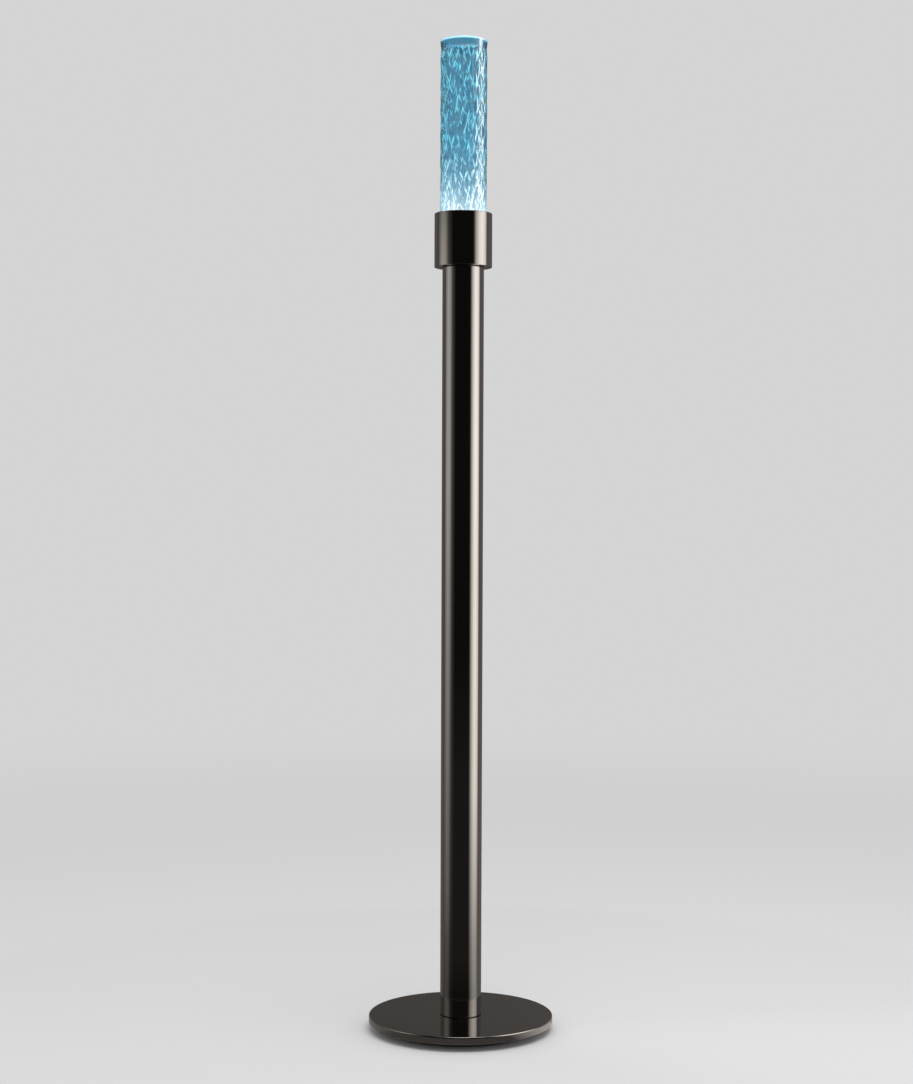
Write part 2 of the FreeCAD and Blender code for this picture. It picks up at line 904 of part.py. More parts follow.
def make_terminal_block():
    half = size.block_width / 2
    front = size.tray_setback - size.block_depth
    low = bottom_plug_top + size.block_height
    high = low + size.block_high
    body = block("terminal_block_body", (-half, front, low), (half, size.tray_setback, high))
    doc.recompute()
    screw_hole = size.block_screw / 2 + size.tapped_hole_clearance
    screw_deep = size.block_screw_deep + size.block_screw_sunk
    backwards = FreeCAD.Rotation(FreeCAD.Vector(1, 0, 0), -90)
    tools = []
    screw_places = []
    ends = {"low": low + size.block_high / 4, "high": high - size.block_high / 4}
    for pole, side in (("left", -1), ("middle", 0), ("right", 1)):
        x = size.block_pole_spacing * side
        wire_way = size.block_wire_hole / 2
        tools.append(cylinder(f"wire_hole_{pole}", wire_way, size.block_high, (x, block_wire_line(), low)))
        for end, z in ends.items():
            name = f"clamp_hole_{pole}_{end}"
            tools.append(cylinder(name, screw_hole, screw_deep, (x, front, z), backwards))
            screw_places.append((x, front + size.block_screw_sunk, z))
    cut("terminal_block", body, tools)
    master = doc.addObject("Part::Cylinder", "terminal_screw_turning")
    bind(master, "Radius", size.block_screw / 2)
    bind(master, "Height", size.block_screw_deep)
    doc.recompute()
    group("terminal_screws", master, screw_places, backwards)
    wire = doc.addObject("Part::Cylinder", "supply_wire_straight")
    gap = driver_bottom() - size.cover_length - high
    bind(wire, "Radius", size.wire_diameter / 2)
    bind(wire, "Height", gap)
    doc.recompute()
    spacing = size.block_pole_spacing
    places = [(x, block_wire_line(), high) for x in (-spacing, spacing)]
    group("supply_wires", wire, places)


def block_wire_line():
    """How far back the wire holes of the terminal block lie, clear of its clamp screws."""
    front = size.tray_setback - size.block_depth
    return front + size.block_screw_deep + size.block_screw_sunk + size.block_wire_hole / 2


def small_screw_master(name):
    return cap_screw(
        name,
        size.small_screw_shank,
        size.small_screw_head,
        size.small_screw_head_high,
        size.small_screw_length,
        size.small_screw_shank * 0.8,
    )


def make_tray_fasteners():
    foot_top = bottom_plug_top + size.tray_sheet
    foot_places = [(x, tray_foot_middle(), foot_top) for x in tray_screw_places()]
    group("tray_screws", small_screw_master("tray_screw"), foot_places)
    behind = size.tray_setback + size.tray_sheet
    back_places = [(0, behind, height) for height in driver_screw_heights()]
    head_back = FreeCAD.Rotation(FreeCAD.Vector(1, 0, 0), -90)
    group("driver_screws", small_screw_master("driver_screw"), back_places, head_back)


def make_earth_tag():
    """A ring tag with a flat tail, under a screw on the bottom plug."""
    place = size.earth_tag_place
    thick = size.earth_tag_thick
    top = bottom_plug_top + thick
    under = (-place, -place, bottom_plug_top)
    ring = cylinder("earth_tag_ring", size.earth_tag_diameter / 2, thick, under)
    half_tail = size.earth_tag_diameter / 4
    tail = block(
        "earth_tag_tail",
        (-place, -place - half_tail, bottom_plug_top),
        (size.earth_tag_tail - place, half_tail - place, top),
    )
    joined = doc.addObject("Part::Fuse", "earth_tag_joined")
    joined.Base = ring
    joined.Tool = tail
    doc.recompute()
    hole_radius = size.earth_screw_shank / 2 + size.screw_hole_clearance
    hole = cylinder("earth_tag_hole", hole_radius, thick, under)
    cut("earth_tag", joined, [hole])
    screw = cap_screw(
        "earth_screw",
        size.earth_screw_shank,
        size.cup_screw_head,
        size.small_screw_head_high,
        size.earth_screw_length,
        size.earth_screw_shank * 0.8,
    )
    group("earth_screw", screw, [(-place, -place, top)])


def rounded_path(points):
    """A wire of straight runs with a tangent arc at each inner corner."""
    edges = []
    start = points[0]
    for before, corner, after in zip(points, points[1:], points[2:]):
        towards = (before - corner).normalize()
        onwards = (after - corner).normalize()
        reach = 0.45 * min((before - corner).Length, (after - corner).Length)
        half_turn = (math.pi - towards.getAngle(onwards)) / 2
        radius = reach / math.tan(half_turn)
        first = corner + towards * reach
        last = corner + onwards * reach
        bisector = (towards + onwards).normalize()
        centre = corner + bisector * (radius / math.cos(half_turn))
        middle = centre - bisector * radius
        edges.append(Part.LineSegment(start, first).toShape())
        edges.append(Part.Arc(first, middle, last).toShape())
        print(f"lead arc radius {radius:.1f} mm")
        start = last
    edges.append(Part.LineSegment(start, points[-1]).toShape())
    return Part.Wire(edges)


def make_dc_lead():
    """The low-voltage lead: out of the driver's top, across to one side, and straight up."""
    start = driver_top().value + sheet.cover_length
    first = start + sheet.lead_straight
    second = first + sheet.lead_shift_high
    path = rounded_path(
        [
            FreeCAD.Vector(0, 0, start),
            FreeCAD.Vector(0, 0, first),
            FreeCAD.Vector(sheet.lead_offset, 0, second),
            FreeCAD.Vector(sheet.lead_offset, 0, board_top.value),
        ]
    )
    radius = sheet.lead_diameter / 2
    section = Part.Wire(Part.makeCircle(radius, FreeCAD.Vector(0, 0, start), FreeCAD.Vector(0, 0, 1)))
    lead = doc.addObject("Part::Feature", "dc_lead")
    lead.Shape = path.makePipeShell([section], True, False)
    lead.Label = "dc_lead"
    drawn = math.pi * radius**2 * path.Length
    if not math.isclose(lead.Shape.Volume, drawn, rel_tol=0.01):
        raise RuntimeError("the lead's volume isn't its section times its length")
    print(f"lead length {path.Length:.0f} mm")


# ---------------------------------------------------------------- cup and light


def make_head_cup():
    rim = size.cup_rim_chamfer
    inner = size.cup_inner_chamfer
    foot = size.cup_foot_chamfer
    body = turned(
        "head_cup",
        [
            (0, cup_bottom),
            (cup_radius - foot, cup_bottom),
            (cup_radius, cup_bottom + foot),
            (cup_radius, cup_top - rim),
            (cup_radius - rim, cup_top),
            (cup_inside + inner, cup_top),
            (cup_inside, cup_top - inner),
            (cup_inside, cup_floor_top),
            (0, cup_floor_top),
        ],
    )
    hole = size.cup_screw_shank / 2 + size.screw_hole_clearance
    bored(body, "cup_screw_holes", hole, size.post_screw_circle, 60, cup_floor_top, size.cup_floor)
    way = cylinder("cup_lead_way", lead_way, size.cup_floor, (size.lead_offset, 0, cup_bottom))
    cut("head_cup", body, [way])


def make_cup_screws():
    screw = cap_screw(
        "cup_screw",
        size.cup_screw_shank,
        size.cup_screw_head,
        size.cup_screw_head_high,
        size.cup_screw_length,
        size.cup_screw_shank * 0.85,
    )
    places = [(*around(size.post_screw_circle / 2, angle), cup_floor_top) for angle in CUP_SCREW_WAYS]
    group("cup_screws", screw, places)


def make_heat_sink():
    """A disc with radial fins under it. The fins stand on the cup's floor."""
    radius = cup_inside - size.sink_fit
    body = disc_between("heat_sink", ZERO, radius, sink_base, sink_top)
    inner = size.fin_inner_diameter / 2
    half = size.fin_thick / 2
    outer = radius - size.fin_thick / 4
    sketch = new_sketch(body, "fin_outline", "XY_Plane", cup_floor_top)
    draw_outline(sketch, [(inner, -half), (outer, -half), (outer, half), (inner, half)])
    fin = body.newObject("PartDesign::Pad", "fin")
    fin.Profile = (sketch, [""])
    bind(fin, "Length", size.fin_height)
    doc.recompute()
    repeated(body, fin, sketch, int(sheet.fin_count))
    tapped = size.small_screw_shank / 2 + size.tapped_hole_clearance
    bored(body, "sink_tapped_holes", tapped, size.board_screw_circle, 60, sink_top, size.sink_base_thick)
    way = cylinder("sink_lead_way", lead_way, size.sink_base_thick, (size.lead_offset, 0, sink_base))
    cut("heat_sink", body, [way])


def drilled_round(name, radius, low, thick):
    """A flat disc with the holes for the three board screws and the lead."""
    body = disc_between(name, ZERO, radius, low, low + thick)
    hole = size.small_screw_shank / 2 + size.screw_hole_clearance
    bored(body, f"{name}_screw_holes", hole, size.board_screw_circle, 60, low + thick, thick)
    way = cylinder(f"{name}_lead_way", lead_way, thick, (size.lead_offset, 0, low))
    cut(name, body, [way])


def make_board():
    drilled_round("thermal_pad", size.thermal_pad_diameter / 2, sink_top, size.thermal_pad_thick)
    drilled_round("led_board", size.board_diameter / 2, board_bottom, size.board_thick)
    disc_between("led_emitter", ZERO, size.emitter_diameter / 2, board_top, board_top + size.emitter_thick)
    places = [(*around(size.board_screw_circle / 2, angle), board_top) for angle in CUP_SCREW_WAYS]
    group("led_screws", small_screw_master("led_screw"), places)
    half_depth = size.connector_depth / 2
    half_width = size.connector_width / 2
    block(
        "led_connector",
        (size.lead_offset - half_depth, -half_width, board_top),
        (size.lead_offset + half_depth, half_width, board_top + size.connector_high),
    )


def make_reflector():
    """A spun dish whose flange carries the diffuser and whose skirt stands on the heat sink."""
    throat = size.reflector_throat / 2
    mouth = size.reflector_mouth / 2
    outer = size.diffuser_diameter / 2
    wall = size.reflector_wall
    low = board_top + size.reflector_lift
    turned(
        "reflector",
        [
            (throat, low),
            (mouth, reflector_top),
            (outer, reflector_top),
            (outer, sink_top),
            (outer - wall, sink_top),
            (outer - wall, reflector_top - wall),
            (mouth + wall / 2, reflector_top - wall),
            (throat + wall * 1.5, low),
        ],
    )


def make_diffuser():
    outer = size.diffuser_diameter / 2
    disc_between("diffuser", ZERO, outer, reflector_top, diffuser_top)
    disc_between("diffuser_gasket", size.gasket_bore / 2, outer, diffuser_top, lip_bottom)


# ---------------------------------------------------------------- glass and its seat


def ring_middle():
    return cup_top - size.ring_drop


def make_socket_ring():
    """The ring in the cup: its lip carries the glass, and its groove holds the centring ring."""
    outer = cup_inside - size.socket_fit
    bore = size.socket_bore / 2
    groove = bore + size.ring_groove + size.ring_groove_clearance
    half_groove = size.ring_section / 2 + size.ring_groove_clearance
    turned(
        "socket_ring",
        [
            (size.lip_bore / 2, lip_bottom),
            (outer, lip_bottom),
            (outer, socket_top),
            (bore, socket_top),
            (bore, ring_middle() + half_groove),
            (groove, ring_middle() + half_groove),
            (groove, ring_middle() - half_groove),
            (bore, ring_middle() - half_groove),
            (bore, lip_top),
            (size.lip_bore / 2, lip_top),
        ],
    )


def make_centring_ring():
    """A square ring with broken corners. It stands out of its groove and keeps the glass central."""
    chamfer = size.ring_chamfer
    outer = size.socket_bore / 2 + size.ring_groove
    inner = outer - size.ring_section
    low = ring_middle() - size.ring_section / 2
    high = ring_middle() + size.ring_section / 2
    turned(
        "centring_ring",
        [
            (inner + chamfer, low),
            (outer - chamfer, low),
            (outer, low + chamfer),
            (outer, high - chamfer),
            (outer - chamfer, high),
            (inner + chamfer, high),
            (inner, high - chamfer),
            (inner, low + chamfer),
        ],
    )


def make_glass_seat():
    disc_between("glass_seat", size.seat_inner / 2, size.seat_outer / 2, lip_top, seat_top)


def glass_levels():
    """Heights above the glass's foot, each with its radius in the valleys and its relief."""
    valley = sheet.glass_diameter / 2
    rows = int(sheet.glass_rows)
    levels = [(0.0, valley, 0.0)]
    for row in range(1, rows):
        relief = sheet.glass_foot_relief if row <= 2 else sheet.glass_relief
        levels.append((row * sheet.glass_row_high, valley, relief))
    shoulder = rows * sheet.glass_row_high
    levels.append((shoulder, valley + sheet.glass_relief / 2, 0.0))
    levels.append((shoulder + sheet.glass_rim_high, sheet.glass_rim_diameter / 2, 0.0))
    return levels


def make_glass_tube():
    """The blown glass: staggered tall diamonds, each a low pyramid with its point in the middle.

    A ring of points lies at each level, two to a column. Every second point is in a valley where
    four diamonds meet, the others are diamond middles, and the next level swaps them. The second
    level above the foot, and every second one after it, has a diamond middle on +X.
    Each square between four points is folded along the valley line that crosses it.
    """
    levels = glass_levels()
    count = 2 * int(sheet.glass_columns)
    foot = glass_bottom.value
    rings = []
    for level, (height, valley, relief) in enumerate(levels):
        ring = []
        for step in range(count):
            angle = math.tau * step / count
            radius = valley + relief * ((step + level + 1) % 2)
            ring.append(FreeCAD.Vector(radius * math.cos(angle), radius * math.sin(angle), foot + height))
        rings.append(ring)

    def facet(*points):
        return Part.Face(Part.makePolygon([*points, points[0]]))

    faces = [facet(*reversed(rings[0])), facet(*rings[-1])]
    for level, (lower, upper) in enumerate(zip(rings, rings[1:])):
        for step in range(count):
            after = (step + 1) % count
            a, b, c, d = lower[step], lower[after], upper[after], upper[step]
            if (step + level) % 2 == 0:
                faces += [facet(a, b, d), facet(b, c, d)]
            else:
                faces += [facet(a, b, c), facet(a, c, d)]
    gather = doc.addObject("Part::Feature", "glass_relief")
    gather.Shape = Part.Solid(Part.Shell(faces))
    bore = cylinder("glass_bore_cut", size.glass_bore / 2, glass_high(), (0, 0, glass_bottom))
    cut("glass_tube", gather, [bore])


def glass_high():
    return size.glass_rows * size.glass_row_high + size.glass_rim_high


# ---------------------------------------------------------------- all pieces

make_floor_pad()
make_ballast_plate()
make_base_disc()
make_ballast_screws()
make_post_fasteners()
make_inlet_bush()
make_cord_sleeve()
make_bottom_plug()
make_post_tube()
make_top_plug()
make_lead_bush()
make_gear_tray()
make_driver()
make_terminal_block()
make_tray_fasteners()
make_earth_tag()
make_dc_lead()
make_head_cup()
make_cup_screws()
make_heat_sink()
make_board()
make_reflector()
make_diffuser()
make_socket_ring()
make_centring_ring()
make_glass_seat()
make_glass_tube()
doc.recompute()

NODES = [
    "floor_pad",
    "ballast_plate",
    "base_disc",
    "ballast_screws",
    "post_washers",
    "post_screws",
    "inlet_bush",
    "cord_sleeve",
    "bottom_plug",
    "post_tube",
    "top_plug",
    "lead_bush",
    "gear_tray",
    "driver_case",
    "driver_covers",
    "terminal_block",
    "terminal_screws",
    "supply_wires",
    "tray_screws",
    "driver_screws",
    "earth_tag",
    "earth_screw",
    "dc_lead",
    "head_cup",
    "cup_screws",
    "heat_sink",
    "thermal_pad",
    "led_board",
    "led_emitter",
    "led_screws",
    "led_connector",
    "reflector",
    "diffuser",
    "diffuser_gasket",
    "socket_ring",
    "centring_ring",
    "glass_seat",
    "glass_tube",
]

for thing in doc.Objects:
    if "Invalid" in thing.State or "Error" in thing.State:
        raise RuntimeError(f"{thing.Label} failed: {thing.State}")

os.makedirs("parts", exist_ok=True)
for node in NODES:
    piece = doc.getObjectsByLabel(node)[0]
    if piece.Shape.isNull() or not piece.Shape.isValid():
        raise RuntimeError(f"{node} has no valid shape")
    piece.Shape.exportStep(f"parts/{node}.step")
    print(f"{node}: {len(piece.Shape.Solids)} solid(s), {piece.Shape.Volume:.0f} cubic mm")
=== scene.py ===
import math

import bmesh
import bpy
from mathutils import Matrix, Vector


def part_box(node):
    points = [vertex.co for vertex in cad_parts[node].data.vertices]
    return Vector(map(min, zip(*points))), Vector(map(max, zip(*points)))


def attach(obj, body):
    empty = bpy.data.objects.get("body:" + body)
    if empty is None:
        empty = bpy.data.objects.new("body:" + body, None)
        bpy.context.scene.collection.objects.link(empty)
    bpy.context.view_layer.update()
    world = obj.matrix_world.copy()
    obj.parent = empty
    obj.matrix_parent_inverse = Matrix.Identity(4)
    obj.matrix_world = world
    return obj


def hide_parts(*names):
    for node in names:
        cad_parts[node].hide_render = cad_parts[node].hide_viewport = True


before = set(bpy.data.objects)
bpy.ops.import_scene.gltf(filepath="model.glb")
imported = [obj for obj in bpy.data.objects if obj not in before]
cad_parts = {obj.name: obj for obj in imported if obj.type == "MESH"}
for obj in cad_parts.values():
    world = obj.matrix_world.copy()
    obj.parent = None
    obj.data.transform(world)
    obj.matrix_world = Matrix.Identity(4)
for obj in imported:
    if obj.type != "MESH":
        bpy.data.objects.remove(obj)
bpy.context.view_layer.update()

# Metres. The post stands on the origin, and the photograph is taken from -Y.
MM = 0.001


# ---------------------------------------------------------------- sizes of the visible pieces

disc_low, disc_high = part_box("base_disc")
post_low, post_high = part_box("post_tube")
cup_low, cup_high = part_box("head_cup")
glass_low, glass_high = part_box("glass_tube")
sink_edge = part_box("heat_sink")[1].x
floor_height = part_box("floor_pad")[0].z

DISC_EDGE = 2.2 * MM
DISC_UNDER_EDGE = 0.8 * MM
SLEEVE_HOLE = 6.05 * MM
POST_WALL = 2.0 * MM
POST_EDGE = 0.4 * MM
CUP_FLOOR = 5.0 * MM
CUP_RIM_EDGE = 1.0 * MM
CUP_FOOT_EDGE = 0.4 * MM
CUP_BORE = sink_edge + 0.3 * MM

GLASS_BORE = 33.2 * MM
GLASS_BODY = 36.6 * MM
GLASS_RELIEF = 1.0 * MM
GLASS_FOOT_RELIEF = 1.3 * MM
GLASS_INNER_RELIEF = 0.45 * MM
GLASS_COLUMNS = 18
GLASS_ROW = 19.8 * MM
GLASS_ROWS = 15
GLASS_ROW_CUTS = 12
GLASS_COLUMN_STEPS = 12
GLASS_LIP = 1.6 * MM
GLASS_FOOT_EDGE = 0.6 * MM
GLASS_FLARE = 0.6 * MM
GLASS_SWAY = 1.6 * MM

TURN_STEPS = 256
CORNER_STEPS = 4


# ---------------------------------------------------------------- shaping


def finished(bm, name, body, material, nodes):
    """Turns a bmesh into a smooth piece that rides on a body and stands for CAD nodes."""
    mesh = bpy.data.meshes.new(name)
    for face in bm.faces:
        face.smooth = True
    bm.to_mesh(mesh)
    bm.free()
    piece = bpy.data.objects.new(name, mesh)
    bpy.context.scene.collection.objects.link(piece)
    mesh.materials.append(material)
    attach(piece, body)
    if nodes:
        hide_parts(*nodes)
    return piece


def rounded_outline(corners):
    """A closed outline in the XZ plane, of corners given as (radius, height, corner radius)."""
    bm = bmesh.new()
    points = [bm.verts.new((radius, 0, height)) for radius, height, _ in corners]
    bm.faces.new(points)
    for point, (_, _, corner) in zip(points, corners):
        if corner:
            bmesh.ops.bevel(
                bm,
                geom=[point],
                offset=corner,
                offset_type="OFFSET",
                segments=CORNER_STEPS,
                profile=0.5,
                affect="VERTICES",
                material=-1,
            )
    bmesh.ops.delete(bm, geom=bm.faces[:], context="FACES_ONLY")
    return bm


def spin_outline(bm, steps):
    """Spins an outline about Z into a closed solid of revolution."""
    on_axis = [e for e in bm.edges if all(abs(v.co.x) < 1e-7 for v in e.verts)]
    bmesh.ops.delete(bm, geom=on_axis, context="EDGES")
    bmesh.ops.spin(
        bm,
        geom=bm.verts[:] + bm.edges[:],
        cent=(0, 0, 0),
        axis=(0, 0, 1),
        dvec=(0, 0, 0),
        angle=math.tau,
        steps=steps,
        use_merge=True,
        use_duplicate=False,
    )
    bmesh.ops.remove_doubles(bm, verts=bm.verts[:], dist=1e-6)
    bmesh.ops.recalc_face_normals(bm, faces=bm.faces[:])


def turned(name, corners, body, material, slot, *nodes):
    """A turned metal piece with broken edges. Its flat faces keep their own normals."""
    bm = rounded_outline(corners)
    spin_outline(bm, TURN_STEPS)
    piece = finished(bm, name, body, material, nodes)
    weighted = piece.modifiers.new("true_faces", "WEIGHTED_NORMAL")
    weighted.weight = 100
    return piece


# ---------------------------------------------------------------- finishes


class Finish:
    """A node material around one Principled shader."""

    def __init__(self, name, colour, rough, metal=0.0, **sockets):
        self.material = bpy.data.materials.new(name)
        self.material.use_nodes = True
        self.tree = self.material.node_tree
        self.shader = self.tree.nodes["Principled BSDF"]
        self.output = self.tree.nodes["Material Output"]
        self.set("Base Color", (*colour, 1.0))
        self.set("Roughness", rough)
        self.set("Metallic", metal)
        for socket, value in sockets.items():
            self.set(socket.replace("_", " "), value)
        self.place = self.node("ShaderNodeTexCoord").outputs["Object"]

    def set(self, socket, value):
        self.shader.inputs[socket].default_value = value

    def node(self, kind, inputs=None, **settings):
        made = self.tree.nodes.new(kind)
        for key, value in settings.items():
            setattr(made, key, value)
        for key, value in (inputs or {}).items():
            if isinstance(value, bpy.types.NodeSocket):
                self.tree.links.new(value, made.inputs[key])
            else:
                made.inputs[key].default_value = value
        return made

    def link(self, output, socket):
        self.tree.links.new(output, self.shader.inputs[socket])

    def stretched(self, scale):
        """Object coordinates drawn out along the axes, for a grain."""
        return self.node("ShaderNodeMapping", {"Vector": self.place, "Scale": scale}).outputs[0]

    def noise(self, scale, detail=3.0, where=None, roughness=0.5):
        inputs = {"Vector": where or self.place, "Scale": scale, "Detail": detail, "Roughness": roughness}
        return self.node("ShaderNodeTexNoise", inputs).outputs["Fac"]

    def between(self, factor, low, high):
        """A number from a factor of 0 to 1."""
        inputs = {"Value": factor, "From Min": 0.25, "From Max": 0.75, "To Min": low, "To Max": high}
        return self.node("ShaderNodeMapRange", inputs).outputs["Result"]

    def mixed(self, factor, first, second):
        """A colour between two, by a factor of 0 to 1."""
        mix = self.node("ShaderNodeMix", {"Factor": factor}, data_type="RGBA")
        mix.inputs["A"].default_value = (*first, 1.0)
        mix.inputs["B"].default_value = (*second, 1.0)
        return mix.outputs["Result"]

    def tinted(self, factor, first, second):
        self.link(self.mixed(factor, first, second), "Base Color")

    def along(self, axis):
        return self.node("ShaderNodeSeparateXYZ", {"Vector": self.place}).outputs[axis]

    def reach(self):
        """The distance from the lamp's axis."""
        flat = self.node("ShaderNodeCombineXYZ", {"X": self.along("X"), "Y": self.along("Y")})
        return self.node("ShaderNodeVectorMath", {0: flat.outputs[0]}, operation="LENGTH").outputs["Value"]

    def math(self, operation, first, second):
        return self.node("ShaderNodeMath", {0: first, 1: second}, operation=operation).outputs[0]

    def ramp(self, factor, stops):
        """A level that follows a factor of 0 to 1 through (position, level) stops."""
        node = self.node("ShaderNodeValToRGB", {"Fac": factor})
        elements = node.color_ramp.elements
        for element, (position, level) in zip(elements, (stops[0], stops[-1])):
            element.position = position
            element.color = (level, level, level, 1.0)
        for position, level in stops[1:-1]:
            elements.new(position).color = (level, level, level, 1.0)
        return node.outputs["Color"]

    def bumped(self, height, depth, strength=1.0):
        """A bump of a real depth in metres."""
        bump = self.node("ShaderNodeBump", {"Height": height, "Distance": depth, "Strength": strength})
        self.link(bump.outputs["Normal"], "Normal")


def shaded(colour, amount):
    return tuple(channel * amount for channel in colour)


def polished_nickel(name, grain):
    """Polished dark nickel: a mirror with faint polishing lines along the grain and a light haze."""
    tone = (0.27, 0.256, 0.24)
    finish = Finish(name, tone, 0.09, metal=1.0)
    lines = finish.noise(1.0, 2.0, finish.stretched(grain))
    haze = finish.noise(9.0, 3.0)
    both = finish.math("MULTIPLY", finish.math("ADD", lines, haze), 0.5)
    finish.link(finish.between(both, 0.05, 0.085), "Roughness")
    finish.tinted(haze, shaded(tone, 0.96), shaded(tone, 1.05))
    finish.bumped(lines, 0.0000025)
    return finish.material


def cast_iron():
    finish = Finish("painted_cast_iron", (0.035, 0.035, 0.036), 0.6)
    grit = finish.noise(900.0, 4.0)
    finish.tinted(finish.noise(60.0), (0.028, 0.028, 0.029), (0.045, 0.044, 0.043))
    finish.link(finish.between(grit, 0.5, 0.72), "Roughness")
    finish.bumped(grit, 0.00012)
    return finish.material


def moulded(name, colour, rough, grain=1800.0, depth=0.00002):
    """Moulded plastic, rubber or silicone: an even colour, clouded a little, with a fine texture."""
    finish = Finish(name, colour, rough)
    skin = finish.noise(grain, 2.0)
    finish.tinted(finish.noise(70.0), shaded(colour, 0.88), shaded(colour, 1.1))
    finish.link(finish.between(skin, rough - 0.08, rough + 0.08), "Roughness")
    finish.bumped(skin, depth)
    return finish.material


def machined(name, colour, rough, ring_scale=1400.0):
    """Turned metal: fine rings about Z over the natural tone of the metal."""
    finish = Finish(name, colour, rough, metal=1.0)
    rings = finish.node(
        "ShaderNodeTexWave",
        {"Vector": finish.place, "Scale": ring_scale, "Distortion": 1.5, "Detail": 2.0, "Detail Scale": 0.4},
        wave_type="RINGS",
        rings_direction="Z",
    ).outputs["Fac"]
    finish.tinted(finish.noise(120.0), shaded(colour, 0.88), shaded(colour, 1.08))
    finish.link(finish.between(rings, rough - 0.06, rough + 0.08), "Roughness")
    finish.bumped(rings, 0.000006)
    return finish.material


def galvanised():
    """Zinc-coated sheet with its crystal flowers."""
    finish = Finish("galvanised_sheet", (0.62, 0.64, 0.66), 0.38, metal=1.0)
    flowers = finish.node("ShaderNodeTexVoronoi", {"Vector": finish.place, "Scale": 170.0}, feature="F1")
    tone = finish.node("ShaderNodeSeparateColor", {"Color": flowers.outputs["Color"]}).outputs["Red"]
    finish.tinted(tone, (0.5, 0.52, 0.54), (0.7, 0.72, 0.74))
    finish.link(finish.between(tone, 0.3, 0.48), "Roughness")
    finish.bumped(tone, 0.000015)
    return finish.material


def phosphor():
    """The LED's yellow phosphor disc, lit."""
    finish = Finish("led_phosphor", (0.95, 0.78, 0.25), 0.45)
    grains = finish.noise(2600.0, 2.0)
    finish.tinted(grains, (0.9, 0.7, 0.2), (1.0, 0.85, 0.35))
    finish.set("Emission Color", (0.8, 0.93, 1.0, 1.0))
    finish.set("Emission Strength", 6.0)
    finish.bumped(grains, 0.00002)
    return finish.material


def lit_diffuser():
    """Frosted disc over the light: brightest in the middle, with a fine frost."""
    finish = Finish("lit_frosted_diffuser", (0.86, 0.93, 0.96), 0.55)
    frost = finish.noise(2200.0, 3.0)
    fall = {"Value": finish.reach(), "From Min": 0.0, "From Max": GLASS_BORE, "To Min": 7.0, "To Max": 3.5}
    finish.link(finish.node("ShaderNodeMapRange", fall).outputs["Result"], "Emission Strength")
    finish.set("Emission Color", (0.72, 0.93, 1.0, 1.0))
    finish.bumped(frost, 0.00003)
    return finish.material


GLASS_TINT = (0.3, 0.58, 0.7)
GLASS_DEEP_TINT = (0.15, 0.42, 0.61)
GLASS_CLEAR_TINT = (0.56, 0.71, 0.78)
FOOT_LIGHT = (1.0, 0.98, 0.95)
UPPER_LIGHT = (0.22, 0.84, 1.0)
# Levels by how high up the glass, as a share of it. All but COLLAR_DEPTH shape the glass's painted glow;
# COLLAR_DEPTH deepens its tint.
GLOW = [(0.108, 0.20), (0.16, 0.15), (0.21, 0.10), (0.285, 0.055), (0.41, 0.025), (0.57, 0.01), (1.0, 0.008)]
LINE_LIGHT = [(0.108, 1.0), (0.21, 1.0), (0.3, 0.92), (0.41, 0.84), (1.0, 0.76)]
RIM_LIGHT = [(0.989, 0.0), (0.994, 0.7)]
BLUENESS = [(0.12, 0.0), (0.45, 1.0), (0.985, 1.0), (0.994, 0.4)]
COLLAR_DEPTH = [(0.955, 0.0), (0.968, 0.3)]
# Levels of painted light by how near a groove: along the grooves, and halfway to the diamond's middle.
GROOVE_LINES = [(0.72, 0.0), (0.96, 1.0)]
MIDDLE_LINES = [(0.2, 0.0), (0.42, 0.8), (0.64, 0.0)]
# Levels by the noise that breaks the painted light lines into ticks, and by the noise of the wall's
# thickness.
GROOVE_TICKS = [(0.46, 0.02), (0.60, 1.0)]
MIDDLE_TICKS = [(0.50, 0.0), (0.62, 1.0)]
WALL_CLEARNESS = [(0.40, 0.0), (0.62, 1.0)]


